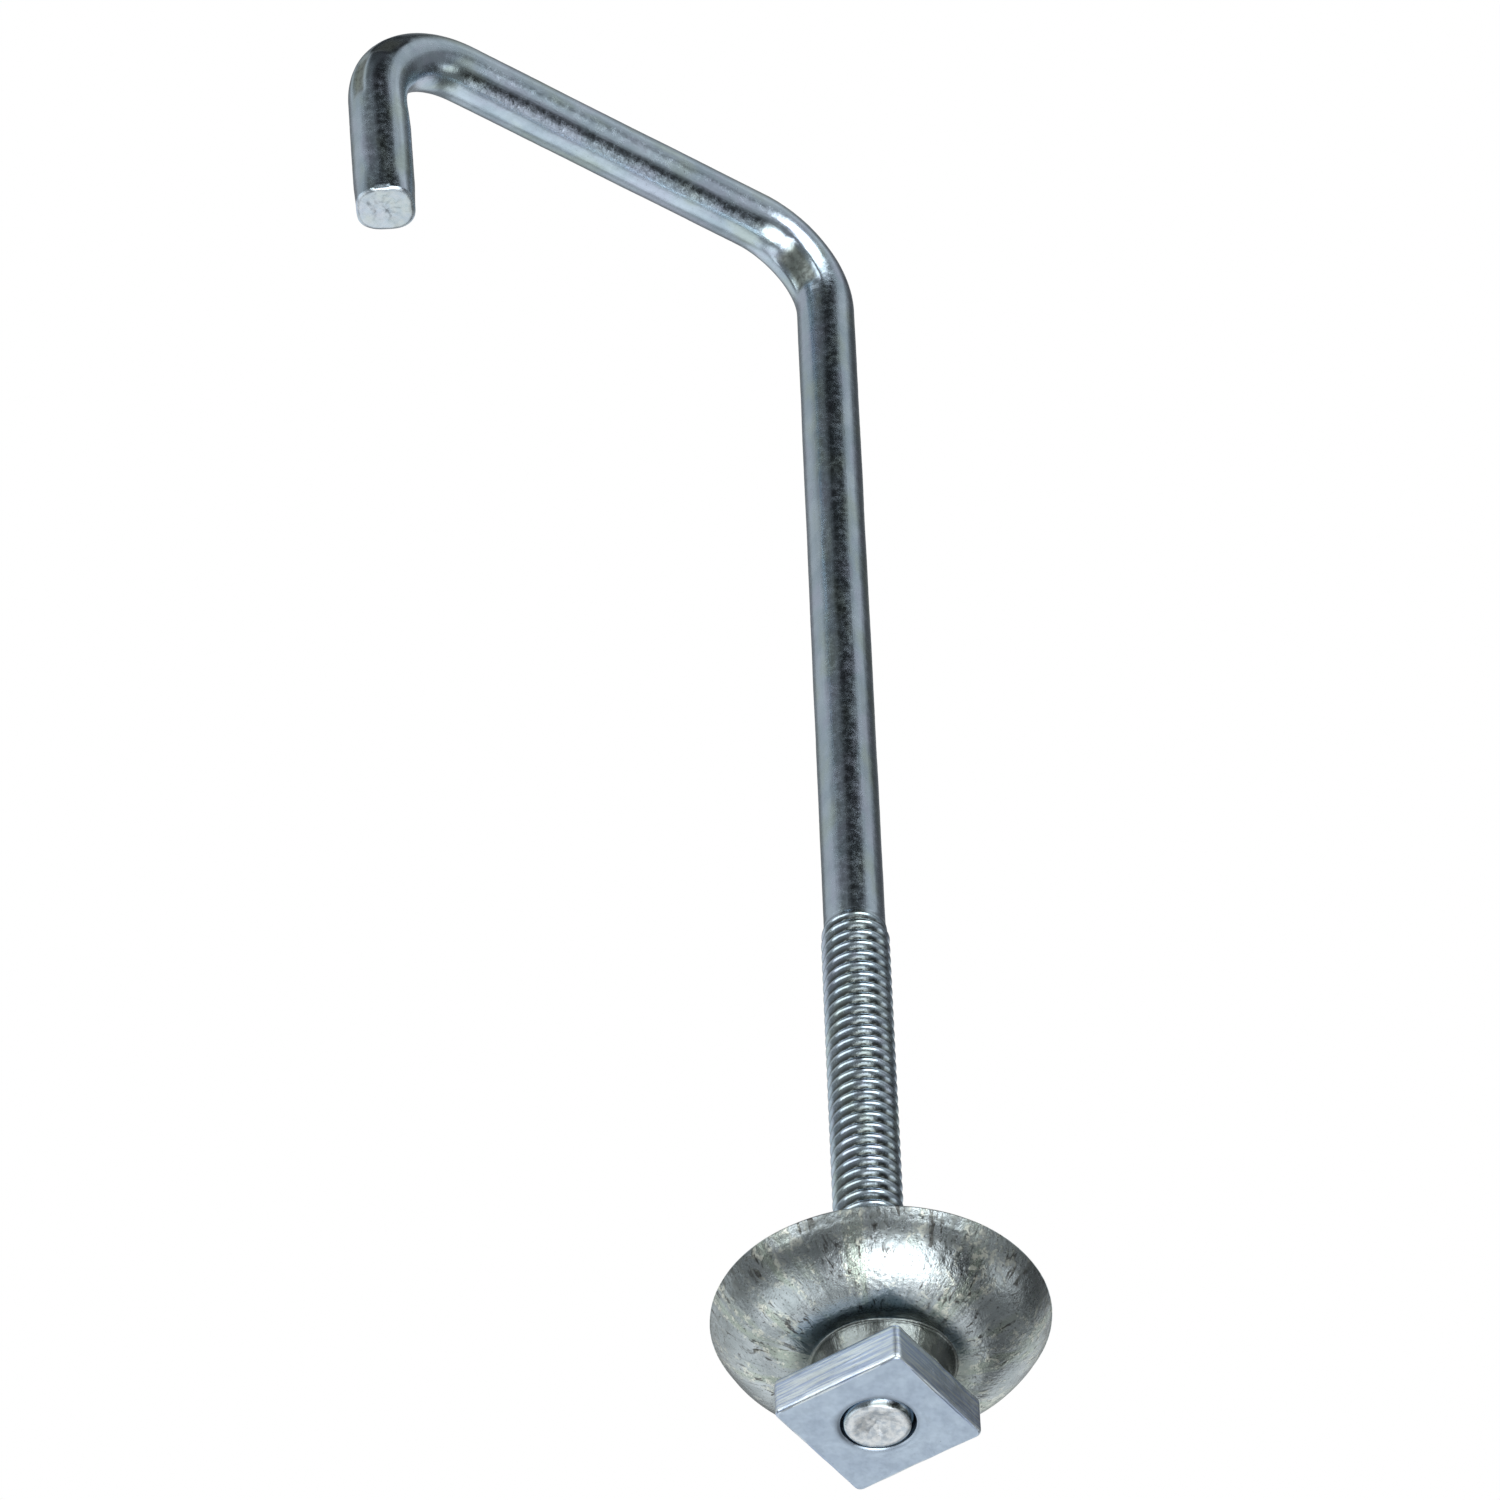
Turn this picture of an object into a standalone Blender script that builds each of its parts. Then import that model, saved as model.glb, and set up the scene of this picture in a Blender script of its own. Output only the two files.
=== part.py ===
"""Square-bend hook bolt: a bent wire rod, a domed washer and a square nut.

The rod stands along Z with the centre of its threaded end at the origin. The hook is at
the top: an arm along -X and a short tip that turns back down, parallel to the shank but
for a small lean. Lengths are in metres.
"""

import math

import bmesh
import bpy
from mathutils import Matrix, Vector

# ---------------------------------------------------------------- driving dimensions
WIRE_DIAMETER = 0.0055        # drawn wire that the rod is bent from
THREAD_DIAMETER = 0.0061      # crests of the 20 per inch thread, rolled up from the wire
THREAD_LENGTH = 0.0588        # threaded end, with its run-out
OVERALL_HEIGHT = 0.150        # threaded end to the outside of the arm
ARM_LENGTH = 0.0515           # centre of the shank to centre of the tip
TIP_LENGTH = 0.0246           # arm centre line to the sheared end of the tip
TIP_LEAN = math.radians(3.6)  # the second bend is closed a little past square
SHANK_BEND_RADIUS = 0.0084    # centre line of the bend between shank and arm
TIP_BEND_RADIUS = 0.0094      # centre line of the bend between arm and tip

NUT_WIDTH = 0.0127            # across flats, half an inch
NUT_THICKNESS = 0.0037
NUT_OFFSET = 0.0002           # outer face of the nut from the end of the rod
NUT_TURN = math.radians(20.5)  # how the square stands about the rod
NUT_CORNER = 0.0006
NUT_EDGE = 0.00015

WASHER_DIAMETER = 0.0290
WASHER_SHEET = 0.0011
WASHER_HOLE = 0.0080          # loose on the thread
WASHER_SHIFT = (0.0005, -0.0004)  # the loose washer hangs off centre
HUB_TOP_RADIUS = 0.0055       # wall of the raised hub that the nut seats on
HUB_BASE_RADIUS = 0.0063
HUB_HEIGHT = 0.0024
HUB_ROUND = 0.0006            # shoulder of the hub, and the fillet at its foot
DOME_START = 0.0067           # radius where the dome leaves the hub, square to the rod
DOME_RISE = 0.0052            # from there to the rim, in one arc that steepens outwards

FIT_GAP = 0.0003              # between surfaces that touch on the real object
END_CHAMFER = 0.0006
ROUND_STEPS = 24              # sides of the round rod
BEND_STEPS = 12
TURNED_STEPS = 48
HUB_ROUND_STEPS = 3
DOME_STEPS = 8

WIRE_RADIUS = WIRE_DIAMETER / 2
ARM_Z = OVERALL_HEIGHT - WIRE_RADIUS
NUT_BACK_Z = NUT_OFFSET + NUT_THICKNESS
WASHER_Z = NUT_BACK_Z + FIT_GAP
MERGE = 0.00001


# ---------------------------------------------------------------- helpers
def clear_scene():
    for obj in list(bpy.data.objects):
        bpy.data.objects.remove(obj, do_unlink=True)


def new_collection(name):
    collection = bpy.data.collections.new(name)
    bpy.context.scene.collection.children.link(collection)
    return collection


def steel(name, colour, roughness):
    material = bpy.data.materials.new(name)
    material.use_nodes = True
    shader = material.node_tree.nodes["Principled BSDF"]
    shader.inputs["Base Color"].default_value = (*colour, 1.0)
    shader.inputs["Metallic"].default_value = 1.0
    shader.inputs["Roughness"].default_value = roughness
    return material


def arc(centre, radius, start, end):
    """Points of an arc in the XZ plane, from angle start to angle end, both included."""
    points = []
    for i in range(BEND_STEPS + 1):
        angle = start + (end - start) * i / BEND_STEPS
        x = centre[0] + radius * math.cos(angle)
        z = centre[1] + radius * math.sin(angle)
        points.append((x, 0.0, z))
    return points


def move_to(obj, collection):
    for owner in list(obj.users_collection):
        owner.objects.unlink(obj)
    collection.objects.link(obj)


def smooth(obj):
    obj.data.shade_smooth()
    obj.data.set_sharp_from_angle(angle=math.radians(35))


# ---------------------------------------------------------------- the bent rod
def rod_route():
    """Centre line as (point, radius factor), from the threaded end to the tip's end."""
    thread = THREAD_DIAMETER / WIRE_DIAMETER
    start = thread - 2 * END_CHAMFER / WIRE_DIAMETER
    run_out = 2 * END_CHAMFER
    route = [
        ((0, 0, 0), start),
        ((0, 0, END_CHAMFER), thread),
        ((0, 0, THREAD_LENGTH - run_out), thread),
        ((0, 0, THREAD_LENGTH), 1.0),
    ]

    quarter = math.pi / 2
    first = (-SHANK_BEND_RADIUS, ARM_Z - SHANK_BEND_RADIUS)
    bend = arc(first, SHANK_BEND_RADIUS, 0, quarter)
    route += [(point, 1.0) for point in bend]

    turn = quarter + TIP_LEAN
    setback = TIP_BEND_RADIUS * math.tan(turn / 2)
    second = (-ARM_LENGTH + setback, ARM_Z - TIP_BEND_RADIUS)
    bend = arc(second, TIP_BEND_RADIUS, quarter, quarter + turn)
    route += [(point, 1.0) for point in bend]

    corner = Vector((-ARM_LENGTH, 0, ARM_Z))
    direction = Vector((math.sin(TIP_LEAN), 0, -math.cos(TIP_LEAN)))
    route.append((corner + direction * (TIP_LENGTH - END_CHAMFER), 1.0))
    route.append((corner + direction * TIP_LENGTH, 1.0 - END_CHAMFER / WIRE_DIAMETER))
    return route


def make_hook_rod(collection, material):
    route = rod_route()
    curve = bpy.data.curves.new("hook_rod", "CURVE")
    curve.dimensions = "3D"
    curve.twist_mode = "MINIMUM"
    curve.bevel_depth = WIRE_RADIUS
    curve.bevel_resolution = ROUND_STEPS // 4 * 2 - 2
    curve.use_fill_caps = True
    spline = curve.splines.new("POLY")
    spline.points.add(len(route) - 1)
    for point, (place, factor) in zip(spline.points, route):
        point.co = (*place, 1.0)
        point.radius = factor
    rod = bpy.data.objects.new("hook_rod", curve)
    rod.data.materials.append(material)
    collection.objects.link(rod)
    return rod


# ---------------------------------------------------------------- the washer
def dome_points(thickness):
    """(radius, z) along the dome from the hub to the rim, that far inside the nut's side."""
    reach = WASHER_DIAMETER / 2 - DOME_START
    bulge = (reach ** 2 + DOME_RISE ** 2) / (2 * DOME_RISE)
    steepest = math.asin(reach / bulge)
    points = []
    for i in range(DOME_STEPS + 1):
        slope = steepest * i / DOME_STEPS
        radius = DOME_START + (bulge - thickness) * math.sin(slope)
        z = HUB_HEIGHT + bulge - (bulge - thickness) * math.cos(slope)
        points.append((radius, z))
    return points


def hub_points():
    """(radius, z) along the hub's face towards the nut, from the hole to its foot."""
    points = [(WASHER_HOLE / 2, 0.0)]
    centre = (HUB_TOP_RADIUS - HUB_ROUND, HUB_ROUND)
    for i in range(HUB_ROUND_STEPS + 1):
        angle = math.pi / 2 * (i / HUB_ROUND_STEPS - 1)
        radius = centre[0] + HUB_ROUND * math.cos(angle)
        points.append((radius, centre[1] + HUB_ROUND * math.sin(angle)))
    points.append((HUB_BASE_RADIUS - HUB_ROUND, HUB_HEIGHT - HUB_ROUND))
    points.append((HUB_BASE_RADIUS, HUB_HEIGHT))
    return points


def hook_side_face():
    """(radius, z) along the other face of the sheet, from the hole to the seat at the rim."""
    seat_z = HUB_HEIGHT + DOME_RISE
    wall = HUB_TOP_RADIUS - WASHER_SHEET
    points = [
        (WASHER_HOLE / 2, WASHER_SHEET),
        (wall, WASHER_SHEET),
        (wall, HUB_HEIGHT + WASHER_SHEET / 2),
        (HUB_BASE_RADIUS - HUB_ROUND, HUB_HEIGHT + WASHER_SHEET),
    ]
    inner = dome_points(WASHER_SHEET)
    for before, after in zip(inner, inner[1:]):
        points.append(before)
        if after[1] > seat_z:
            share = (seat_z - before[1]) / (after[1] - before[1])
            points.append((before[0] + (after[0] - before[0]) * share, seat_z))
            break
    return points


def make_washer(collection, material):
    nut_side = hub_points() + dome_points(0.0)
    outline = nut_side[::-1] + hook_side_face()
    mesh = bpy.data.meshes.new("dome_washer")
    shape = bmesh.new()
    ring = [shape.verts.new((radius, 0, z)) for radius, z in outline]
    for here, after in zip(ring, ring[1:] + ring[:1]):
        shape.edges.new((here, after))
    shape.to_mesh(mesh)
    shape.free()
    washer = bpy.data.objects.new("dome_washer", mesh)
    washer.location = (*WASHER_SHIFT, WASHER_Z)
    washer.data.materials.append(material)
    collection.objects.link(washer)

    turn = washer.modifiers.new("turn", "SCREW")
    turn.steps = TURNED_STEPS
    turn.render_steps = TURNED_STEPS
    turn.use_merge_vertices = True
    turn.merge_threshold = MERGE
    turn.use_smooth_shade = True
    return washer


# ---------------------------------------------------------------- the nut
def make_bore_cutter(collection):
    radius = THREAD_DIAMETER / 2 + FIT_GAP
    bpy.ops.mesh.primitive_cylinder_add(
        vertices=TURNED_STEPS, radius=radius, depth=3 * NUT_THICKNESS)
    cutter = bpy.context.object
    cutter.name = "nut_bore_cutter"
    cutter.location = (0, 0, NUT_OFFSET + NUT_THICKNESS / 2)
    cutter.hide_render = True
    cutter.display_type = "WIRE"
    move_to(cutter, collection)
    return cutter


def make_square_nut(collection, cutters, material):
    bpy.ops.mesh.primitive_cube_add(size=1.0)
    nut = bpy.context.object
    nut.name = "square_nut"
    nut.data.transform(Matrix.Diagonal((NUT_WIDTH, NUT_WIDTH, NUT_THICKNESS, 1.0)))
    nut.location = (0, 0, NUT_OFFSET + NUT_THICKNESS / 2)
    nut.rotation_euler = (0, 0, NUT_TURN)
    nut.data.materials.append(material)
    move_to(nut, collection)

    shape = bmesh.new()
    shape.from_mesh(nut.data)
    upright = [e for e in shape.edges if abs(e.verts[0].co.z - e.verts[1].co.z) > NUT_EDGE]
    bmesh.ops.bevel(shape, geom=upright, offset=NUT_CORNER, segments=3, profile=0.5,
                    affect="EDGES")
    shape.to_mesh(nut.data)
    shape.free()

    edges = nut.modifiers.new("eased_edges", "BEVEL")
    edges.width = NUT_EDGE
    edges.segments = 1
    edges.limit_method = "ANGLE"
    edges.angle_limit = math.radians(60)
    bore = nut.modifiers.new("bore", "BOOLEAN")
    bore.operation = "DIFFERENCE"
    bore.solver = "EXACT"
    bore.object = make_bore_cutter(cutters)
    smooth(nut)
    return nut


# ---------------------------------------------------------------- assembly
def main():
    clear_scene()
    parts = new_collection("hook_bolt")
    cutters = new_collection("cutters")

    rod_steel = steel("zinc_rod", (0.50, 0.53, 0.54), 0.34)
    washer_steel = steel("zinc_washer", (0.56, 0.58, 0.58), 0.28)
    nut_steel = steel("zinc_nut", (0.60, 0.64, 0.68), 0.42)

    make_hook_rod(parts, rod_steel)
    make_washer(parts, washer_steel)
    make_square_nut(parts, cutters, nut_steel)


main()
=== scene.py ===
"""Zinc-plated square-bend hook bolt with its domed washer and square nut.

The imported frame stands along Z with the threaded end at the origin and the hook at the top.
Each CAD node gets a finer mesh with a procedural zinc finish. Lengths are in metres.
"""

import math

import bpy
import numpy as np
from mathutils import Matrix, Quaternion, Vector, noise


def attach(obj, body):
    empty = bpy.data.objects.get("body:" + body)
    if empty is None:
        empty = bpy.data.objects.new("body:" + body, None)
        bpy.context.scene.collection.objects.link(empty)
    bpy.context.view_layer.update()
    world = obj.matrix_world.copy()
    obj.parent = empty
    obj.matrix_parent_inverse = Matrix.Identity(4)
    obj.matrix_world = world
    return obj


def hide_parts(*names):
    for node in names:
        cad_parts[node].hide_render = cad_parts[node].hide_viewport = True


# ---------------------------------------------------------------- sizes
# Mostly as in the record. The thread's end, the arm's place, the nut's bore and the eased
# edges were set again on this finer mesh, to match the photo or to stay inside the CAD box.
WIRE_RADIUS = 0.00275
CREST_RADIUS = 0.00305
THREAD_DEPTH = 0.00044        # round ridges and sharp roots, matched by their highlights
THREAD_PITCH = 0.00127
THREAD_END = 0.0576
RUN_OUT = 0.0018              # where the crests sink back into the plain wire
LEAD_IN = 0.0012              # the first crests are lower by LEAD_IN_DROP
LEAD_IN_DROP = 0.00012
TIP_ROUND = 0.00020           # the sheared end of the tip rolls over
THREAD_END_ROUND = 0.00014
THREAD_END_CUP = 0.00045      # rolling the thread leaves its end hollow
TIP_CUP = 0.00010
ROUGH_END = 0.00012           # tearing of the sheared faces
THREAD_END_TORN = 1.0         # how much of each face looks torn
TIP_TORN = 0.45
END_ROWS = 14
END_MIDDLE = 0.02             # share of the radius that the closing fan covers
END_SPREAD = 0.002            # stretches the plating's pattern over the end faces
SHEAR_TURN = math.radians(81)  # where the cropping blades squared the tip a little
SHEAR_LENGTH = 0.0035
SHEAR_BULGE = 0.00013
TIP_FULLNESS = 0.00022        # the inner side of the tip swells past its bend
TIP_FULL_AFTER = 0.004
BEND_BULGE = 0.00010          # a bend bulges sideways and thins on its inside and outside
BEND_THINNING = 0.00012
BEND_REACH = 1.25             # of half the bend, where the squeeze fades out
WIRE_WAVE = 0.00003           # waviness and dents of the drawn wire, past the thread
WIRE_DENT = 0.00002
PLAIN_AFTER = 0.001
PRESS_DEPTH = 0.00026
# bend, distance into it, half length, turn about the wire and half width in degrees, edge
PRESS_MARKS = [
    ("shank", 0.0055, 0.0037, 199, 32, 0.38),
    ("tip", 0.0098, 0.0018, -52, 26, 0.55),
    ("tip", 0.0140, 0.0030, -14, 18, 0.60),
]
ARM_Z = 0.14722
ARM_LENGTH = 0.05148
TIP_LENGTH = 0.0246
TIP_LEAN = math.radians(3.6)
SHANK_BEND_RADIUS = 0.0084
TIP_BEND_RADIUS = 0.0094

NUT_HALF_WIDTH = 0.00635
NUT_FRONT_Z = 0.0002
NUT_BACK_Z = 0.0039
NUT_TURN = math.radians(20.5)
NUT_CORNER = 0.0006
NUT_EDGE = 0.00035
NUT_BORE = 0.00322            # clear of the crests
NUT_CHAMFER = 0.00016
NUT_LIP = 0.0001              # flat ring between the bore's chamfer and the face
NUT_LIP_DROP = 0.00006
NUT_FACE_DROP = 0.00004       # keeps the uneven faces inside the CAD box
NUT_FACE_START = 0.15         # share of the face's width where its rows begin
NUT_FACE_BLEND = 0.0008
NUT_WAVE = 0.00004
NUT_DENT = 0.000015

WASHER_RADIUS = 0.0145
WASHER_SHEET = 0.0011
WASHER_HOLE_RADIUS = 0.0040
WASHER_CENTRE = (0.0005, -0.0004)
WASHER_Z = 0.0042
HUB_TOP_RADIUS = 0.0055
HUB_BASE_RADIUS = 0.0063
HUB_HEIGHT = 0.0024
HUB_ROUND = 0.0006
HUB_FILLET = 0.00035
DOME_START = 0.0067
DOME_RISE = 0.0052
HOLE_EASE = 0.00012
SEAT_MARGIN = 0.0001          # the dome's hook side stops this far short of the seat
# how the corners at the rim are eased: (along the radius, back from the seat)
RIM_CORNER = [(0.00002, 0.00016), (0.0001, 0.00004), (0.00022, 0.0)]
SEAT_CORNER = [(0.00030, 0.0), (0.00012, 0.00003)]
WASHER_WAVE = 0.00006
WASHER_DENT = 0.000012
WAVE_START = 0.0070           # the waves grow from here to the rim
WAVE_SPAN = 0.006
RIM_WEAR = 0.0015             # share of the radius, outside RIM_START
RIM_START = 0.0140
TURNED_RADIUS = 0.01          # where the turned pattern is laid out, for noise along the rays

# ---------------------------------------------------------------- mesh density
SAME_PLACE = 1e-12
WIRE_SIDES = 72
ROWS_PER_PITCH = 14
WIRE_STEP = 0.00045
TURNED_SIDES = 288
HUB_FACE_ROWS = 5
HUB_ROUND_STEPS = 7
HUB_WALL_STEPS = 5
DOME_STEPS = 56
NUT_SIDES = 240
NUT_CORNER_SIDES = 17
NUT_EDGE_STEPS = 4
NUT_FACE_ROWS = 9
NUT_SIDE_ROWS = 12

# ---------------------------------------------------------------- camera
CAMERA_PLACE = (-0.29693, -0.39651, -0.41368)
CAMERA_AZIMUTH = -35.82       # degrees
CAMERA_ELEVATION = -44.91
CAMERA_ROLL = math.radians(-2.01)
CAMERA_LENS = 185.3
CAMERA_SENSOR = 36.0
FLOOR_Z = -1.10
FLOOR_REACH = 9.0
FLOOR_LINES = 8
FLOOR_COLOUR = (0.90, 0.90, 0.90, 1.0)
FLOOR_GLOW = 0.55             # the studio light is kept low, so the floor lights itself
FLOOR_GLOW_COLOUR = (0.97, 0.98, 1.0, 1.0)


# ---------------------------------------------------------------- helpers
def grid_mesh(name, points, around_closed=True, rows_closed=False, caps=()):
    """A mesh from rows of points. caps lists the rows that are closed with a fan."""
    rows, columns = points.shape[:2]
    vertices = points.reshape(-1, 3)
    faces = []
    for i in range(rows if rows_closed else rows - 1):
        here, after = i * columns, (i + 1) % rows * columns
        for j in range(columns if around_closed else columns - 1):
            k = (j + 1) % columns
            faces.append((here + j, here + k, after + k, after + j))
    extra = []
    for row in caps:
        centre = points[row].mean(0)
        index = len(vertices) + len(extra)
        extra.append(centre)
        start = (row % rows) * columns
        for j in range(columns):
            k = (j + 1) % columns
            face = (start + j, start + k, index)
            faces.append(face if row else face[::-1])
    if extra:
        vertices = np.vstack([vertices, extra])
    mesh = bpy.data.meshes.new(name)
    mesh.from_pydata(vertices.tolist(), [], faces)
    mesh.update()
    piece = bpy.data.objects.new(name, mesh)
    bpy.context.scene.collection.objects.link(piece)
    return piece


def face_outwards(piece):
    bpy.context.view_layer.objects.active = piece
    piece.select_set(True)
    bpy.ops.object.mode_set(mode="EDIT")
    bpy.ops.mesh.select_all(action="SELECT")
    bpy.ops.mesh.normals_make_consistent(inside=False)
    bpy.ops.object.mode_set(mode="OBJECT")
    piece.select_set(False)


def shade(piece, angle):
    piece.data.shade_smooth()
    piece.data.set_sharp_from_angle(angle=math.radians(angle))


def store(piece, name, values):
    """A point attribute, of numbers or of vectors, for the material to read."""
    values = np.asarray(values, np.float32)
    missing = len(piece.data.vertices) - len(values)
    if missing:
        values = np.concatenate([values, values[-missing:]])
    kind = "FLOAT" if values.ndim == 1 else "FLOAT_VECTOR"
    attribute = piece.data.attributes.new(name, kind, "POINT")
    attribute.data.foreach_set("value" if values.ndim == 1 else "vector", values.ravel())


def rough(points, scale, seed):
    """Smooth noise between -1 and 1 at each point, for waviness and dents."""
    shift = Vector((seed * 7.3, seed * 3.1, seed * 5.7))
    flat = points.reshape(-1, 3)
    values = [noise.noise(Vector(p) / scale + shift) for p in flat]
    return np.array(values).reshape(points.shape[:-1])


def smooth_step(x):
    x = np.clip(x, 0, 1)
    return x * x * (3 - 2 * x)


# ---------------------------------------------------------------- the bent rod
def rod_stations():
    """Distances along the rod, dense in the thread and in the bends."""
    thread = np.arange(THREAD_END_ROUND + ROUGH_END, THREAD_END + 0.001,
                       THREAD_PITCH / ROWS_PER_PITCH)
    wire = np.linspace(thread[-1] + WIRE_STEP, rod_length() - TIP_ROUND,
                       round((rod_length() - thread[-1]) / WIRE_STEP))
    return np.concatenate([thread, wire])


def rod_pieces():
    """(kind, length, radius) of the straight and bent stretches in turn."""
    turn = math.pi / 2 + TIP_LEAN
    setback = TIP_BEND_RADIUS * math.tan(turn / 2)
    return [
        ("straight", ARM_Z - SHANK_BEND_RADIUS, 0),
        ("bend", SHANK_BEND_RADIUS * math.pi / 2, SHANK_BEND_RADIUS),
        ("straight", ARM_LENGTH - SHANK_BEND_RADIUS - setback, 0),
        ("bend", TIP_BEND_RADIUS * turn, TIP_BEND_RADIUS),
        ("straight", TIP_LENGTH - setback, 0),
    ]


def rod_length():
    return sum(length for _, length, _ in rod_pieces())


def rod_frame(stations):
    """Centre points and outward normals in the XZ plane at each distance along the rod."""
    pieces = rod_pieces()
    centres, outwards = [], []
    for s in stations:
        place = np.array([0.0, 0.0, 0.0])
        heading = 0.0
        left = s
        for kind, length, radius in pieces:
            run = min(left, length)
            along = np.array([-math.sin(heading), 0, math.cos(heading)])
            out = np.array([math.cos(heading), 0, math.sin(heading)])
            if kind == "straight":
                place = place + along * run
            else:
                angle = run / radius
                inward = out * radius * (1 - math.cos(angle))
                place = place - inward + along * radius * math.sin(angle)
                heading += angle
            left -= run
            if left <= SAME_PLACE:
                break
        centres.append(place)
        outwards.append([math.cos(heading), 0, math.sin(heading)])
    return np.array(centres), np.array(outwards)


def thread_height(turns):
    """0 at the root and 1 at the crest, for a phase in turns: round ridges, sharp roots."""
    return np.abs(np.cos(math.pi * turns))


def rod_radius(stations, angles):
    """Distance from the centre line and depth in the thread, at every station and angle."""
    s = stations[:, None]
    turns = s / THREAD_PITCH - angles[None, :] / (2 * math.pi)
    height = thread_height(turns)
    threaded = CREST_RADIUS - THREAD_DEPTH * (1 - height)
    formed = smooth_step((THREAD_END - s) / RUN_OUT)
    radius = WIRE_RADIUS + (threaded - WIRE_RADIUS) * formed
    lead = smooth_step(s / LEAD_IN)
    return radius - LEAD_IN_DROP * (1 - lead), formed * (1 - height)


def bend_spans():
    """Start and end distance of the two bends."""
    pieces = rod_pieces()
    first = pieces[0][1]
    second = first + pieces[1][1] + pieces[2][1]
    return (first, first + pieces[1][1]), (second, second + pieces[3][1])


def press_mark(s, angle, middle, half_length, at, half_angle, edge):
    """1 inside a patch that the bending tool pressed, with edges that sharp."""
    along = 1 - np.abs(s - middle) / half_length
    around = 1 - np.abs((angle - at + math.pi) % (2 * math.pi) - math.pi) / half_angle
    return smooth_step(np.minimum(along, around) / edge)


def bend_squeeze(s, a, start, end):
    """Change of radius where the wire is squeezed in a bend."""
    middle = (start + end) / 2
    inside = smooth_step(BEND_REACH - np.abs(s - middle) / ((end - start) / 2))
    return inside * (BEND_BULGE - BEND_THINNING * np.cos(a) ** 2)


def press_patches(s, a):
    """1 inside the patches of PRESS_MARKS, at every distance and angle."""
    (shank_in, _), (tip_in, _) = bend_spans()
    pressed = np.zeros(np.broadcast_shapes(s.shape, a.shape))
    for start, at, half_length, turn, half_turn, edge in PRESS_MARKS:
        middle = (shank_in if start == "shank" else tip_in) + at
        mark = press_mark(s, a, middle, half_length, math.radians(turn), math.radians(half_turn),
                          edge)
        pressed = np.maximum(pressed, mark)
    return pressed


def tip_shape(s, a, tip_out):
    """Change of radius along the tip: fuller on its inner side, and squared by the blades."""
    tip = smooth_step((s - tip_out) / TIP_FULL_AFTER)
    shear = smooth_step((s - s[-1] + SHEAR_LENGTH) / SHEAR_LENGTH)
    fuller = TIP_FULLNESS * tip * (0.5 - 0.5 * np.cos(a)) ** 2
    return fuller, SHEAR_BULGE * shear * np.cos(4 * (a - SHEAR_TURN))


def rod_shape():
    """Points of the rod's skin, its straightened coordinates, its press marks and grooves."""
    stations = rod_stations()
    angles = np.linspace(0, 2 * math.pi, WIRE_SIDES, endpoint=False)
    centres, outwards = rod_frame(stations)
    radius, groove = rod_radius(stations, angles)
    s, a = stations[:, None], angles[None, :]
    straight = np.stack([radius * np.cos(a), radius * np.sin(a), np.broadcast_to(s, radius.shape)],
                        axis=-1)

    plain = smooth_step((s - THREAD_END) / PLAIN_AFTER)
    radius = radius + plain * WIRE_WAVE * rough(straight * np.array([1, 1, 0.25]), 0.0016, 1)
    radius = radius - plain * WIRE_DENT * np.abs(rough(straight, 0.0009, 2))
    for start, end in bend_spans():
        radius = radius + bend_squeeze(s, a, start, end)
    pressed = press_patches(s, a)
    radius = radius - PRESS_DEPTH * pressed
    for change in tip_shape(s, a, bend_spans()[1][1]):
        radius = radius + change

    across = np.array([0.0, 1.0, 0.0])
    skin = centres[:, None, :]
    skin = skin + (radius * np.cos(a))[..., None] * outwards[:, None, :]
    skin = skin + (radius * np.sin(a))[..., None] * across
    return skin, straight, pressed, groove


def sheared_end(ring, straight_ring, outward, depth, cup, seed):
    """Rows that close an end as a sheared face: a rolled edge, then a rough flat."""
    centre = ring.mean(0)
    rows, flat_rows = [], []
    for i in range(1, END_ROWS + 1):
        share = i / END_ROWS
        inward = 1 - share
        rise = depth * math.sqrt(min(1.0, 1 - (1 - min(share * 5, 1)) ** 2))
        row = centre + (ring - centre) * max(inward, END_MIDDLE)
        bumps = rough(row, 0.0009, seed) * 0.6 + rough(row, 0.00035, seed + 1) * 0.4
        fade = min(1.0, share * 4)
        sunk = cup * smooth_step(share * 1.15 - 0.15)
        row = row + outward * (rise + ROUGH_END * fade * bumps[..., None] - sunk)
        rows.append(row)
        middle = straight_ring.mean(0)
        flat = middle + (straight_ring - middle) * max(inward, END_MIDDLE)
        flat[:, 2] += np.sign(outward[2]) * share * END_SPREAD
        flat_rows.append(flat)
    return np.array(rows), np.array(flat_rows)


def make_rod(material):
    skin, straight, pressed, groove = rod_shape()
    end_out = np.array([0.0, 0.0, -1.0])
    tip_way = np.array([math.sin(TIP_LEAN), 0.0, -math.cos(TIP_LEAN)])
    head, head_flat = sheared_end(skin[0], straight[0], end_out, THREAD_END_ROUND, THREAD_END_CUP,
                                  seed=11)
    tail, tail_flat = sheared_end(skin[-1], straight[-1], tip_way, TIP_ROUND, TIP_CUP, seed=21)
    points = np.concatenate([head[::-1], skin, tail])
    flat = np.concatenate([head_flat[::-1], straight, tail_flat])
    head_blank, tail_blank = np.zeros(head.shape[:2]), np.zeros(tail.shape[:2])
    marks = np.concatenate([head_blank, pressed, tail_blank])
    grooves = np.concatenate([head_blank, groove, tail_blank])
    ends = np.concatenate([head_blank + THREAD_END_TORN, np.zeros(pressed.shape),
                           tail_blank + TIP_TORN])
    piece = grid_mesh("rod_surface", points, caps=(0, -1))
    store(piece, "wire", flat.reshape(-1, 3))
    store(piece, "pressed", marks.ravel())
    store(piece, "sheared", ends.ravel())
    store(piece, "groove", grooves.ravel())
    face_outwards(piece)
    shade(piece, 50)
    piece.data.materials.append(material)
    return piece


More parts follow.
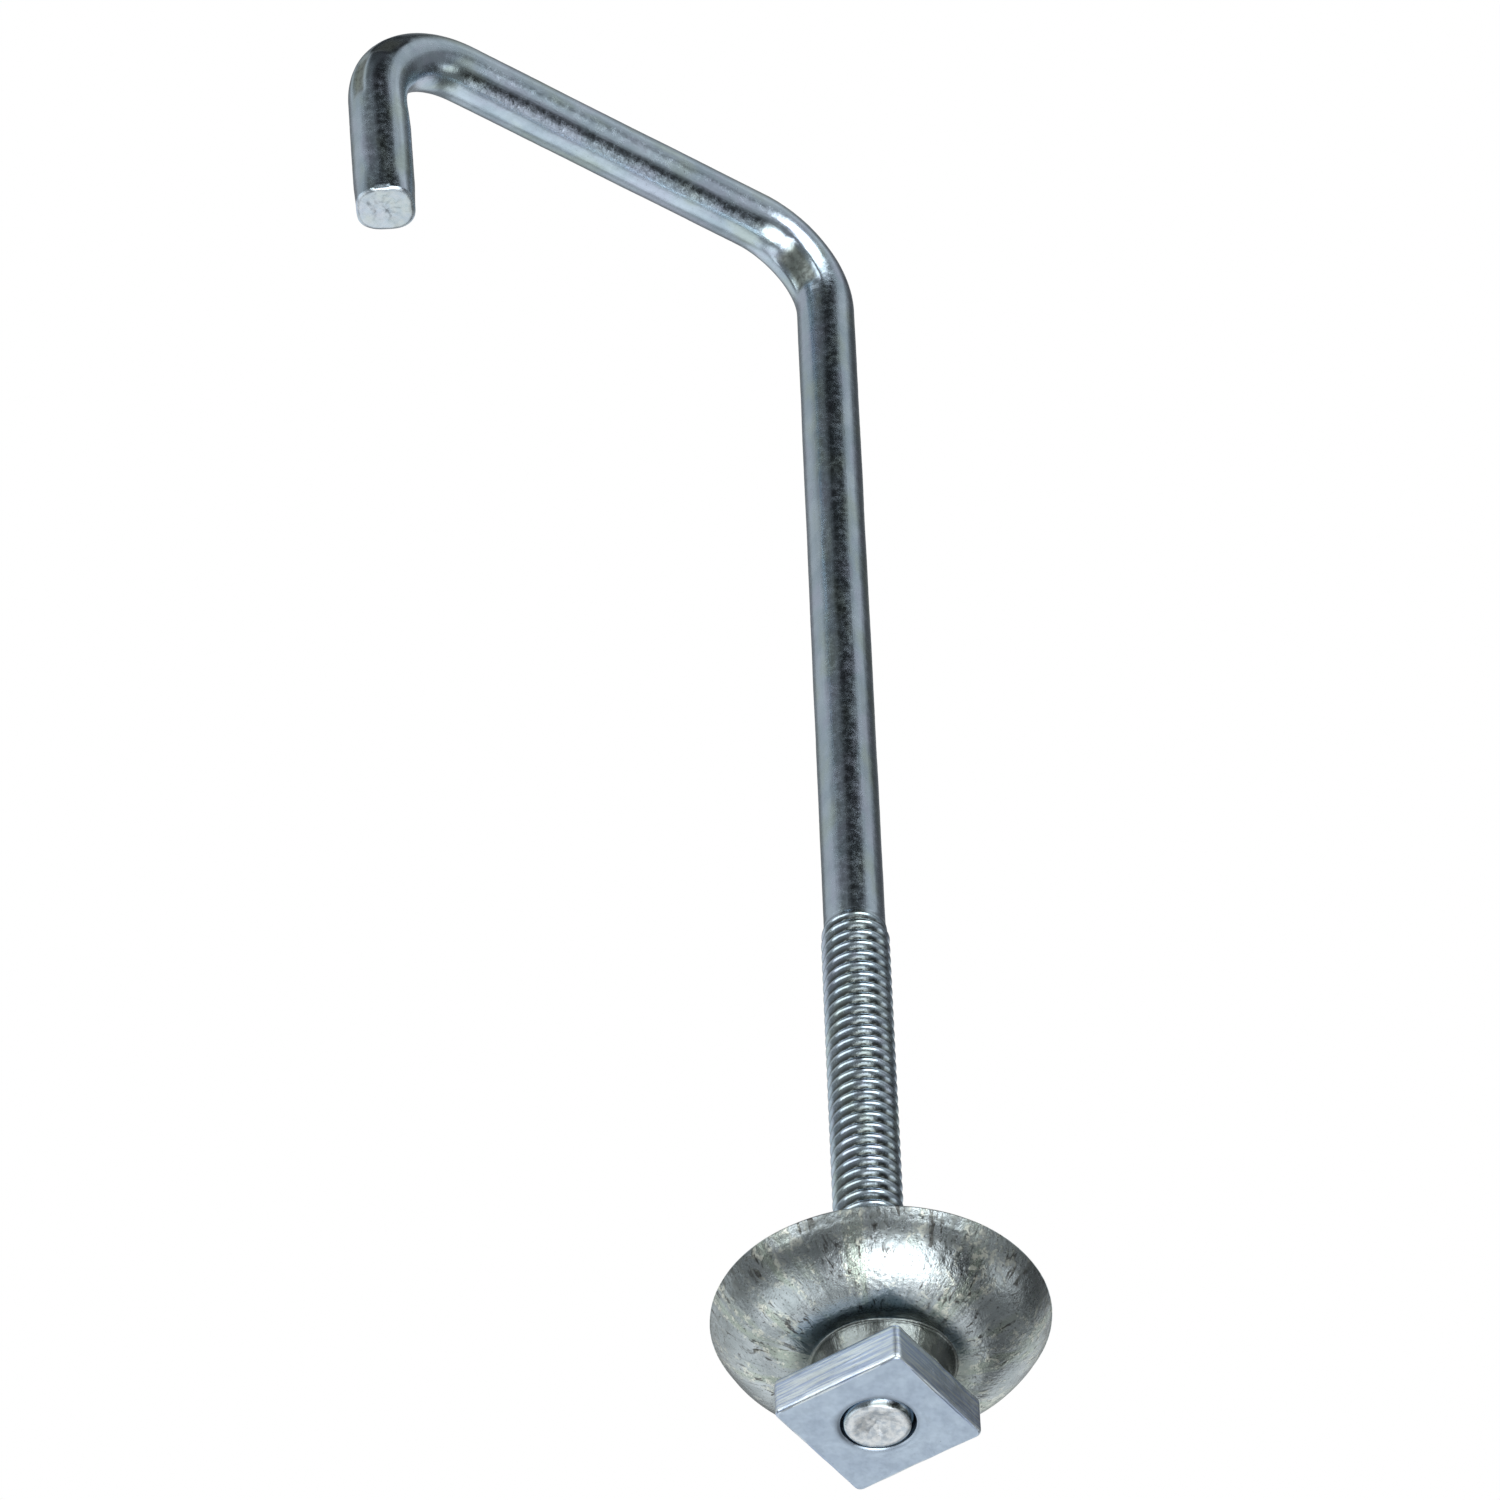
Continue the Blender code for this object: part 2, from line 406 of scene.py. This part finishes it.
# ---------------------------------------------------------------- the washer
def arc_points(centre, radius, start, end, steps):
    """(radius, z) points of an arc, after its first one."""
    angles = np.linspace(start, end, steps + 1)[1:]
    return [(centre[0] + radius * math.cos(a), centre[1] + radius * math.sin(a)) for a in angles]


def dome_points(thickness, steps):
    """(radius, z) along the dome from the hub to the rim, that far inside the nut's side."""
    reach = WASHER_RADIUS - DOME_START
    bulge = (reach ** 2 + DOME_RISE ** 2) / (2 * DOME_RISE)
    steepest = math.asin(reach / bulge)
    centre = (DOME_START, HUB_HEIGHT + bulge)
    return arc_points(centre, bulge - thickness, -math.pi / 2, steepest - math.pi / 2, steps)


def washer_outline():
    """Closed outline of the bent sheet: nut side from hole to rim, then back along the other."""
    quarter = math.pi / 2
    hole, wall = WASHER_HOLE_RADIUS, HUB_TOP_RADIUS
    points = [(r, 0.0) for r in np.linspace(hole + 0.00015, wall - HUB_ROUND, HUB_FACE_ROWS)]
    points += arc_points((wall - HUB_ROUND, HUB_ROUND), HUB_ROUND, -quarter, 0, HUB_ROUND_STEPS)
    foot = (HUB_BASE_RADIUS + 0.0001, HUB_HEIGHT - HUB_FILLET)
    points += [(wall + (foot[0] - HUB_FILLET - wall) * t, HUB_ROUND + (foot[1] - HUB_ROUND) * t)
               for t in np.linspace(0, 1, HUB_WALL_STEPS + 1)[1:]]
    points += arc_points(foot, HUB_FILLET, math.pi, quarter, HUB_ROUND_STEPS)
    points.append((DOME_START, HUB_HEIGHT))
    points += dome_points(0.0, DOME_STEPS)[:-1]
    seat = HUB_HEIGHT + DOME_RISE
    points += [(WASHER_RADIUS - inset, seat - short) for inset, short in RIM_CORNER]
    inner = [p for p in dome_points(WASHER_SHEET, DOME_STEPS) if p[1] < seat - SEAT_MARGIN]
    points += [(inner[-1][0] + out, seat - short) for out, short in SEAT_CORNER]
    points += inner[::-1]
    points.append((HUB_BASE_RADIUS - HUB_ROUND, HUB_HEIGHT + WASHER_SHEET))
    inside = wall - WASHER_SHEET
    points += [
        (inside + 0.0001, HUB_HEIGHT + WASHER_SHEET * 0.7),
        (inside, HUB_HEIGHT + WASHER_SHEET * 0.4),
        (inside, WASHER_SHEET + 0.0001),
        (hole + HOLE_EASE, WASHER_SHEET),
        (hole, WASHER_SHEET - HOLE_EASE),
        (hole, HOLE_EASE),
    ]
    return np.array(points)


def make_washer(material):
    outline = washer_outline()
    angles = np.linspace(0, 2 * math.pi, TURNED_SIDES, endpoint=False)
    radius, height = outline[:, 0][:, None], outline[:, 1][:, None]
    ones = np.ones_like(angles)[None, :]
    points = np.stack([radius * np.cos(angles), radius * np.sin(angles), height * ones], axis=-1)
    outer = smooth_step((radius - WAVE_START) / WAVE_SPAN)
    ripple = WASHER_WAVE * rough(points, 0.0045, 31) * outer
    points[..., 2] += ripple + WASHER_DENT * rough(points, 0.0012, 32)
    worn = 1 + RIM_WEAR * (rough(points, 0.003, 33) - 1) * (radius > RIM_START)
    points[..., :2] *= worn[..., None]
    turned = np.stack([TURNED_RADIUS * np.cos(angles) * np.ones_like(radius),
                       TURNED_RADIUS * np.sin(angles) * np.ones_like(radius), radius * ones],
                      axis=-1)
    piece = grid_mesh("washer_surface", points, rows_closed=True)
    store(piece, "turned", turned.reshape(-1, 3))
    store(piece, "radius", (radius * ones).ravel())
    piece.location = (*WASHER_CENTRE, WASHER_Z)
    face_outwards(piece)
    shade(piece, 40)
    piece.data.materials.append(material)
    return piece


# ---------------------------------------------------------------- the nut
def square_reach(angle, half, corner):
    """Distance from the centre to a square with rounded corners, at an angle to its flats."""
    a = (angle + math.pi / 4) % (math.pi / 2) - math.pi / 4
    flat = half / math.cos(a)
    if abs(flat * math.sin(a)) <= half - corner:
        return flat
    centre = half - corner
    direction = (math.cos(a), abs(math.sin(a)))
    dot = centre * (direction[0] + direction[1])
    return dot + math.sqrt(max(dot * dot - 2 * centre * centre + corner * corner, 0.0))


def nut_rows():
    """Rows of (share of the way from bore to outline, inset, z) around the nut's section.

    A row marked "ring" stands at the bore instead, that far outside it.
    """
    front, back = NUT_FRONT_Z, NUT_BACK_Z
    rows = [("ring", 0.0, z) for z in (back - NUT_CHAMFER, (front + back) / 2, front + NUT_CHAMFER)]
    rows.append(("ring", NUT_CHAMFER * 0.5, front + NUT_CHAMFER * 0.5))
    rows.append(("ring", NUT_CHAMFER, front + NUT_LIP_DROP))
    rows.append(("ring", NUT_CHAMFER + NUT_LIP, front))
    rows += [(share, NUT_EDGE, front) for share in np.linspace(NUT_FACE_START, 1.0, NUT_FACE_ROWS)]
    turns = np.linspace(0, math.pi / 2, NUT_EDGE_STEPS + 1)[1:]
    for turn in turns:
        rows.append((1.0, NUT_EDGE * (1 - math.sin(turn)), front + NUT_EDGE * (1 - math.cos(turn))))
    sides = np.linspace(front + NUT_EDGE, back - NUT_EDGE, NUT_SIDE_ROWS)[1:]
    rows += [(1.0, 0.0, z) for z in sides]
    for turn in turns:
        rows.append((1.0, NUT_EDGE * (1 - math.cos(turn)), back - NUT_EDGE * (1 - math.sin(turn))))
    shares = np.linspace(1.0, NUT_FACE_START, NUT_FACE_ROWS)[1:]
    rows += [(share, NUT_EDGE, back) for share in shares]
    rows.append(("ring", NUT_CHAMFER + NUT_LIP, back))
    rows.append(("ring", NUT_CHAMFER, back - NUT_LIP_DROP))
    return rows


def make_nut(material):
    angles = nut_angles()
    reach = np.array([square_reach(a, NUT_HALF_WIDTH, NUT_CORNER) for a in angles])
    hole = NUT_BORE + NUT_CHAMFER + NUT_LIP
    points, sides = [], []
    for share, inset, z in nut_rows():
        if share == "ring":
            radius = np.full_like(reach, NUT_BORE + inset)
        else:
            radius = hole + (reach - inset - hole) * share
        x, y = radius * np.cos(angles), radius * np.sin(angles)
        points.append(np.stack([x, y, np.full_like(reach, z)], axis=-1))
        sides.append(np.full_like(reach, 1.0 if share == 1.0 and inset < NUT_EDGE else 0.0))
    points = np.array(points)
    sides = np.array(sides)
    worn = NUT_WAVE * (rough(points, 0.0022, 41) - 0.6) + NUT_DENT * rough(points, 0.0007, 42)
    radial = np.linalg.norm(points[..., :2], axis=-1)
    moved = 1 + sides * worn / radial
    middle = (NUT_FRONT_Z + NUT_BACK_Z) / 2
    flat_face = smooth_step((radial - NUT_BORE - NUT_CHAMFER) / NUT_FACE_BLEND) * (1 - sides)
    points[..., :2] *= moved[..., None]
    points[..., 2] -= flat_face * np.sign(points[..., 2] - middle) * (NUT_FACE_DROP + worn * 0.5)
    piece = grid_mesh("nut_surface", points, rows_closed=True)
    store(piece, "side", sides.ravel())
    store(piece, "chip", points.reshape(-1, 3))
    piece.rotation_euler = (0, 0, NUT_TURN)
    face_outwards(piece)
    shade(piece, 40)
    piece.data.materials.append(material)
    return piece


def nut_angles():
    """Angles around the nut, with extra columns at its corners."""
    even = np.linspace(0, 2 * math.pi, NUT_SIDES, endpoint=False)
    spread = math.atan(NUT_CORNER / NUT_HALF_WIDTH) * 0.75
    corners = [math.pi / 4 + q * math.pi / 2 for q in range(4)]
    extra = np.concatenate([c + np.linspace(-spread, spread, NUT_CORNER_SIDES) for c in corners])
    return np.unique(np.round(np.concatenate([even, extra]), 6))


# ---------------------------------------------------------------- materials
MIX_COLOURS = (6, 7)          # the colour sockets of a Mix node, which share their names
MIX_RESULT = 2


def math_node(tree, operation, one, two=0.0):
    node = tree.nodes.new("ShaderNodeMath")
    node.operation = operation
    for socket, value in zip(node.inputs, (one, two)):
        if isinstance(value, (int, float)):
            socket.default_value = value
        else:
            tree.links.new(value, socket)
    return node.outputs[0]


class Nodes:
    """Short names for building a shader."""

    def __init__(self, name):
        self.material = bpy.data.materials.new(name)
        self.material.use_nodes = True
        self.tree = self.material.node_tree
        self.shader = self.tree.nodes["Principled BSDF"]

    def add(self, kind, **settings):
        node = self.tree.nodes.new(kind)
        for key, value in settings.items():
            setattr(node, key, value)
        return node

    def link(self, source, target):
        self.tree.links.new(source, target)

    def attribute(self, name, output="Vector"):
        return self.add("ShaderNodeAttribute", attribute_name=name).outputs[output]

    def scaled(self, vector, factors):
        node = self.add("ShaderNodeVectorMath", operation="MULTIPLY")
        self.link(vector, node.inputs[0])
        node.inputs[1].default_value = factors
        return node.outputs[0]

    def noise(self, vector, scale, detail=3.0, roughness=0.55, distortion=0.0):
        node = self.add("ShaderNodeTexNoise")
        self.link(vector, node.inputs["Vector"])
        node.inputs["Scale"].default_value = scale
        node.inputs["Detail"].default_value = detail
        node.inputs["Roughness"].default_value = roughness
        node.inputs["Distortion"].default_value = distortion
        return node.outputs["Fac"]

    def ramp(self, value, low, high, out_low=0.0, out_high=1.0):
        node = self.add("ShaderNodeMapRange", interpolation_type="SMOOTHSTEP")
        self.link(value, node.inputs["Value"])
        node.inputs["From Min"].default_value = low
        node.inputs["From Max"].default_value = high
        node.inputs["To Min"].default_value = out_low
        node.inputs["To Max"].default_value = out_high
        return node.outputs["Result"]

    def math(self, operation, one, two):
        return math_node(self.tree, operation, one, two)

    def mix(self, factor, one, two):
        node = self.add("ShaderNodeMix", data_type="RGBA")
        self.link(factor, node.inputs["Factor"])
        for index, value in zip(MIX_COLOURS, (one, two)):
            socket = node.inputs[index]
            if isinstance(value, tuple):
                socket.default_value = (*value, 1.0)
            else:
                self.link(value, socket)
        return node.outputs[MIX_RESULT]

    def bump(self, height, strength, distance, normal=None):
        node = self.add("ShaderNodeBump")
        self.link(height, node.inputs["Height"])
        node.inputs["Strength"].default_value = strength
        node.inputs["Distance"].default_value = distance
        if normal is not None:
            self.link(normal, node.inputs["Normal"])
        return node.outputs["Normal"]

    def finish(self, colour, roughness, normal):
        self.shader.inputs["Metallic"].default_value = 1.0
        self.link(colour, self.shader.inputs["Base Color"])
        self.link(roughness, self.shader.inputs["Roughness"])
        self.link(normal, self.shader.inputs["Normal"])
        return self.material


ZINC_LIGHT = (0.58, 0.69, 0.79)
ZINC_MID = (0.46, 0.57, 0.66)
ZINC_DULL = (0.30, 0.34, 0.35)
ZINC_OLIVE = (0.24, 0.26, 0.21)
ZINC_GREEN = (0.52, 0.62, 0.56)
ZINC_VIOLET = (0.55, 0.59, 0.74)
SPECK = (0.10, 0.10, 0.095)
# painted shade: the dark that the thread's roots and the washer round its hub are mixed towards,
# standing in for the shadow in those hollows
PAINTED_SHADE = (0.17, 0.19, 0.18)
TORN_DULL = (0.62, 0.68, 0.74)
TORN_BRIGHT = (0.97, 0.99, 1.0)
WASHER_MID = (0.50, 0.56, 0.58)
WASHER_LIGHT = (0.66, 0.72, 0.75)
WASHER_GREEN = (0.50, 0.58, 0.48)
WASHER_STAIN = (0.24, 0.26, 0.25)
WASHER_BARE = (0.92, 0.94, 0.84)
NUT_MID = (0.47, 0.56, 0.68)
NUT_LIGHT = (0.55, 0.65, 0.77)
# the nut's sides: shear streaks, in colours made much paler than the faces to paint the light that
# falls on the sides
PAINTED_LIT_STREAK_PALE = (0.88, 0.96, 1.0)
PAINTED_LIT_STREAK_DEEP = (0.55, 0.66, 0.86)


def rod_zinc():
    n = Nodes("rod_zinc")
    wire = n.attribute("wire")
    pressed = n.attribute("pressed", "Fac")
    sheared = n.attribute("sheared", "Fac")
    drawn = n.noise(n.scaled(wire, (1, 1, 0.05)), 2600, 3)
    long_band = n.noise(n.scaled(wire, (1, 1, 0.03)), 700, 2)
    cloud = n.noise(wire, 260, 4)
    mottle = n.noise(wire, 1500, 5, 0.65)
    fine = n.noise(wire, 5200, 3, 0.6)

    colour = n.mix(n.ramp(cloud, 0.35, 0.65), ZINC_MID, ZINC_LIGHT)
    colour = n.mix(n.ramp(long_band, 0.56, 0.72, 0, 0.35), colour, ZINC_DULL)
    tint = n.noise(n.scaled(wire, (1, 1, 0.4)), 420, 2)
    colour = n.mix(n.ramp(tint, 0.50, 0.68, 0, 0.55), colour, ZINC_GREEN)
    colour = n.mix(n.ramp(tint, 0.50, 0.34, 0, 0.5), colour, ZINC_VIOLET)
    stain = n.math("MULTIPLY", n.ramp(mottle, 0.46, 0.60), pressed)
    colour = n.mix(n.math("MULTIPLY", pressed, 0.78), colour, ZINC_OLIVE)
    colour = n.mix(n.math("MULTIPLY", stain, 0.5), colour, SPECK)
    speck = n.ramp(fine, 0.68, 0.74, 0, 0.75)
    colour = n.mix(speck, colour, SPECK)
    # painted shade in the thread's roots: darker the deeper the point lies in the groove
    groove = n.attribute("groove", "Fac")
    colour = n.mix(n.ramp(groove, 0.25, 0.75, 0, 0.92), colour, PAINTED_SHADE)
    torn = n.mix(n.ramp(mottle, 0.36, 0.62), TORN_DULL, TORN_BRIGHT)
    colour = n.mix(sheared, colour, torn)

    roughness = n.ramp(mottle, 0.3, 0.7, 0.15, 0.29)
    roughness = n.math("ADD", roughness, n.math("MULTIPLY", pressed, 0.22))
    roughness = n.math("ADD", roughness, n.math("MULTIPLY", sheared, 0.16))
    normal = n.bump(drawn, 0.45, 0.00003)
    normal = n.bump(mottle, 0.45, 0.00004, normal)
    normal = n.bump(fine, 0.25, 0.00001, normal)
    return n.finish(colour, roughness, normal)


def washer_zinc():
    n = Nodes("washer_zinc")
    turned = n.attribute("turned")
    place = n.add("ShaderNodeTexCoord").outputs["Object"]
    rays = n.noise(n.scaled(turned, (1, 1, 0.16)), 1500, 4, 0.65)
    smear = n.noise(n.scaled(turned, (1, 1, 0.35)), 330, 3, 0.6, 0.4)
    cloud = n.noise(place, 320, 4)
    mottle = n.noise(place, 1400, 5, 0.65)
    fine = n.noise(place, 4600, 3, 0.6)
    radius = n.attribute("radius", "Fac")

    outer = n.ramp(radius, 0.0105, 0.0138)
    colour = n.mix(n.ramp(cloud, 0.35, 0.65), WASHER_MID, WASHER_LIGHT)
    colour = n.mix(n.ramp(smear, 0.46, 0.62, 0, 0.75), colour, WASHER_GREEN)
    dulled = n.math("MULTIPLY", outer, n.ramp(smear, 0.55, 0.40, 0.1, 0.6))
    colour = n.mix(dulled, colour, ZINC_DULL)
    colour = n.mix(n.ramp(rays, 0.52, 0.66, 0, 0.55), colour, ZINC_DULL)
    scratch = n.noise(n.scaled(turned, (1, 1, 0.45)), 1500, 3, 0.6, 1.2)
    scuff = n.math("MULTIPLY", n.ramp(scratch, 0.56, 0.62), n.ramp(cloud, 0.44, 0.56))
    colour = n.mix(n.math("MULTIPLY", scuff, 0.95), colour, SPECK)
    stain = n.math("MULTIPLY", n.ramp(radius, 0.0120, 0.0142), n.ramp(mottle, 0.42, 0.60))
    colour = n.mix(n.math("MULTIPLY", stain, 0.65), colour, WASHER_STAIN)
    bare = n.math("MULTIPLY", n.ramp(mottle, 0.53, 0.60), n.ramp(smear, 0.40, 0.55))
    colour = n.mix(n.math("MULTIPLY", bare, 0.8), colour, WASHER_BARE)
    colour = n.mix(n.ramp(fine, 0.60, 0.68, 0, 0.9), colour, SPECK)
    # painted shade under the nut: darker towards the hub and up its wall, where the nut shades the
    # dome
    colour = n.mix(n.ramp(radius, 0.0088, 0.0067, 0, 0.82), colour, PAINTED_SHADE)

    roughness = n.ramp(mottle, 0.3, 0.7, 0.12, 0.24)
    roughness = n.math("ADD", roughness, n.math("MULTIPLY", outer, 0.10))
    normal = n.bump(rays, 0.45, 0.00005)
    normal = n.bump(scuff, -0.6, 0.00003, normal)
    normal = n.bump(mottle, 0.8, 0.00008, normal)
    normal = n.bump(fine, 0.2, 0.00001, normal)
    return n.finish(colour, roughness, normal)


def nut_zinc():
    n = Nodes("nut_zinc")
    chip = n.attribute("chip")
    side = n.attribute("side", "Fac")
    shear = n.noise(n.scaled(chip, (0.05, 0.05, 1)), 3600, 4, 0.6)
    cloud = n.noise(chip, 350, 4)
    mottle = n.noise(chip, 1700, 5, 0.65)
    fine = n.noise(chip, 5000, 3, 0.6)
    colour = n.mix(n.ramp(cloud, 0.35, 0.65), NUT_MID, NUT_LIGHT)
    # painted light on the sides: real shear streaks, mixed between colours lifted well above the
    # faces' zinc
    lit_side_streaks = n.mix(n.ramp(shear, 0.40, 0.60), PAINTED_LIT_STREAK_PALE, PAINTED_LIT_STREAK_DEEP)
    colour = n.mix(side, colour, lit_side_streaks)
    colour = n.mix(n.ramp(fine, 0.69, 0.75, 0, 0.5), colour, SPECK)
    roughness = n.ramp(mottle, 0.3, 0.7, 0.30, 0.42)
    normal = n.bump(n.math("MULTIPLY", shear, side), 0.5, 0.00005)
    normal = n.bump(mottle, 0.3, 0.00003, normal)
    normal = n.bump(fine, 0.2, 0.00001, normal)
    return n.finish(colour, roughness, normal)


# ---------------------------------------------------------------- studio
def sight(azimuth, elevation):
    """Unit vector from the part towards a viewer at that azimuth and elevation, in degrees."""
    a, e = math.radians(azimuth), math.radians(elevation)
    return (math.sin(a) * math.cos(e), -math.cos(a) * math.cos(e), math.sin(e))


STUDIO_BASE = 0.21
# azimuth, elevation, half-width and softness in degrees, brightness
SOFT_BOXES = [
    (40, 45, 10, 14, 0.27),
    (-126, 44, 18, 15, 0.30),
    (163, -28, 16, 22, 0.14),
    (146, -46, 10, 20, 0.64),
    (23, -3, 9, 12, 0.30),
    (-170, 2, 20, 20, 0.58),
    (112, -64, 5, 12, 0.25),
    (60, -21, 6, 8, 1.0),
    (-36, -8, 9, 10, 0.14),
    (60, 62, 8, 12, 0.25),
    (-12, -62, 18, 9, 3.1),
    (120, 8, 12, 16, 0.55),
    (-140, -50, 9, 16, 1.0),
]
# upright strips: azimuth, lowest and highest elevation, half-width, softness, brightness
STRIPS = [
    (-8, -4, 25, 17, 6, 3.2),
    (-80, -5, 26, 20, 7, 1.8),
]
STRIP_FACING = (80, 8)        # keeps a strip to its own side of the room
# the same as the soft boxes, but the last number is the share of light that is taken away
DARK_CARDS = [
    (78, -2, 10, 12, 0.60),
    (-60, 84, 12, 12, 0.85),
    (-22, 45, 10, 18, 0.92),
    (33, -43, 9, 14, 0.86),
    (-70, 45, 18, 14, 0.35),
    (84, 43, 13, 13, 0.58),
    (112, -34, 8, 12, 0.40),
]
ROOM_TINT = (0.965, 0.99, 1.0, 1.0)
PAPER = (1.0, 1.0, 1.0, 1.0)
LAMP_DISTANCE = 0.25
# aimed at (x, y, z), from (azimuth, elevation), radius, brightness
LAMPS = [
    ("under_near", (-0.003, -0.006, 0.008), (35, -80), 0.086, 0.8),
]


def studio_lobe(tree, direction, azimuth, elevation, half, soft):
    """1 within half degrees of a direction, and 0 beyond half + soft."""
    dot = tree.nodes.new("ShaderNodeVectorMath")
    dot.operation = "DOT_PRODUCT"
    tree.links.new(direction, dot.inputs[0])
    dot.inputs[1].default_value = sight(azimuth, elevation)
    edge = tree.nodes.new("ShaderNodeMapRange")
    edge.interpolation_type = "SMOOTHSTEP"
    tree.links.new(dot.outputs["Value"], edge.inputs["Value"])
    edge.inputs["From Min"].default_value = math.cos(math.radians(half + soft))
    edge.inputs["From Max"].default_value = math.cos(math.radians(half))
    return edge.outputs["Result"]


def studio_strip(tree, direction, azimuth, low, high, half, soft):
    """1 near an upright line at an azimuth, between two elevations."""
    side = (math.cos(math.radians(azimuth)), math.sin(math.radians(azimuth)), 0.0)
    upright = (0.0, 0.0, 1.0)
    spans = ((side, 0.0, half), (upright, (low + high) / 2, (high - low) / 2))
    parts = []
    for axis, middle, reach in spans:
        dot = tree.nodes.new("ShaderNodeVectorMath")
        dot.operation = "DOT_PRODUCT"
        tree.links.new(direction, dot.inputs[0])
        dot.inputs[1].default_value = axis
        away = math_node(tree, "SUBTRACT", dot.outputs["Value"], math.sin(math.radians(middle)))
        away = math_node(tree, "ABSOLUTE", away)
        edge = tree.nodes.new("ShaderNodeMapRange")
        edge.interpolation_type = "SMOOTHSTEP"
        tree.links.new(away, edge.inputs["Value"])
        edge.inputs["From Min"].default_value = math.sin(math.radians(reach + soft))
        edge.inputs["From Max"].default_value = math.sin(math.radians(reach))
        parts.append(edge.outputs["Result"])
    facing = studio_lobe(tree, direction, azimuth, 0, *STRIP_FACING)
    return math_node(tree, "MULTIPLY", math_node(tree, "MULTIPLY", *parts), facing)


def make_studio():
    """Plain white to the camera, and a room of boxes, strips and cards to reflections."""
    world = bpy.data.worlds.new("studio")
    world.use_nodes = True
    bpy.context.scene.world = world
    tree = world.node_tree
    tree.nodes.clear()
    direction = tree.nodes.new("ShaderNodeTexCoord").outputs["Generated"]
    light = STUDIO_BASE
    for azimuth, elevation, half, soft, strength in SOFT_BOXES:
        lobe = studio_lobe(tree, direction, azimuth, elevation, half, soft)
        light = math_node(tree, "ADD", light, math_node(tree, "MULTIPLY", lobe, strength))
    for azimuth, low, high, half, soft, strength in STRIPS:
        strip = studio_strip(tree, direction, azimuth, low, high, half, soft)
        light = math_node(tree, "ADD", light, math_node(tree, "MULTIPLY", strip, strength))
    for azimuth, elevation, half, soft, strength in DARK_CARDS:
        lobe = studio_lobe(tree, direction, azimuth, elevation, half, soft)
        keep = math_node(tree, "SUBTRACT", 1.0, math_node(tree, "MULTIPLY", lobe, strength))
        light = math_node(tree, "MULTIPLY", light, keep)
    room = tree.nodes.new("ShaderNodeBackground")
    room.inputs["Color"].default_value = ROOM_TINT
    tree.links.new(light, room.inputs["Strength"])
    paper = tree.nodes.new("ShaderNodeBackground")
    paper.inputs["Color"].default_value = PAPER
    paper.inputs["Strength"].default_value = 1.0
    seen = tree.nodes.new("ShaderNodeLightPath").outputs["Is Camera Ray"]
    pick = tree.nodes.new("ShaderNodeMixShader")
    tree.links.new(seen, pick.inputs[0])
    tree.links.new(room.outputs[0], pick.inputs[1])
    tree.links.new(paper.outputs[0], pick.inputs[2])
    output = tree.nodes.new("ShaderNodeOutputWorld")
    tree.links.new(pick.outputs[0], output.inputs["Surface"])


def make_lamps():
    for name, target, (azimuth, elevation), radius, brightness in LAMPS:
        data = bpy.data.lights.new(name, "AREA")
        data.shape = "DISK"
        data.size = 2 * radius
        data.energy = brightness * math.pi * math.pi * radius ** 2
        lamp = bpy.data.objects.new(name, data)
        bpy.context.scene.collection.objects.link(lamp)
        back = Vector(sight(azimuth, elevation))
        lamp.location = Vector(target) + LAMP_DISTANCE * back
        lamp.rotation_euler = back.to_track_quat("Z", "Y").to_euler()
        lamp.visible_camera = False


def make_floor():
    line = np.linspace(-FLOOR_REACH, FLOOR_REACH, FLOOR_LINES)
    x, y = np.meshgrid(line, line)
    points = np.stack([x, y, np.full_like(x, FLOOR_Z)], axis=-1)
    floor = grid_mesh("floor", points, around_closed=False)
    material = bpy.data.materials.new("pale_floor")
    material.use_nodes = True
    shader = material.node_tree.nodes["Principled BSDF"]
    shader.inputs["Base Color"].default_value = FLOOR_COLOUR
    shader.inputs["Roughness"].default_value = 0.9
    shader.inputs["Emission Color"].default_value = FLOOR_GLOW_COLOUR
    shader.inputs["Emission Strength"].default_value = FLOOR_GLOW
    floor.data.materials.append(material)
    floor.visible_glossy = False


def make_camera():
    data = bpy.data.cameras.new("camera")
    data.lens = CAMERA_LENS
    data.sensor_width = CAMERA_SENSOR
    data.clip_start = 0.01
    data.clip_end = 20.0
    camera = bpy.data.objects.new("camera", data)
    bpy.context.scene.collection.objects.link(camera)
    back = Vector(sight(CAMERA_AZIMUTH, CAMERA_ELEVATION))
    aim = (-back).to_track_quat("-Z", "Y") @ Quaternion((0, 0, 1), CAMERA_ROLL)
    camera.rotation_mode = "QUATERNION"
    camera.rotation_quaternion = aim
    camera.location = CAMERA_PLACE
    bpy.context.scene.camera = camera


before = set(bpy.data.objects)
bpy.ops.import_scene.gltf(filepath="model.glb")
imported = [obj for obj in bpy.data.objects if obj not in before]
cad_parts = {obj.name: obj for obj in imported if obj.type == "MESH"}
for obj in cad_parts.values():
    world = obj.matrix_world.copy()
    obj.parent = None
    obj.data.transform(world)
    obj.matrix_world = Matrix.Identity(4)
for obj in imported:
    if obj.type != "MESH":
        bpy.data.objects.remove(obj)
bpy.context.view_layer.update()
make_camera()
make_studio()
make_lamps()
make_floor()

rod = make_rod(rod_zinc())
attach(rod, "rod")
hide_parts("hook_rod")

washer = make_washer(washer_zinc())
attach(washer, "washer")
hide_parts("dome_washer")

nut = make_nut(nut_zinc())
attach(nut, "nut")
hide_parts("square_nut")

bpy.context.scene.view_settings.view_transform = "Standard"
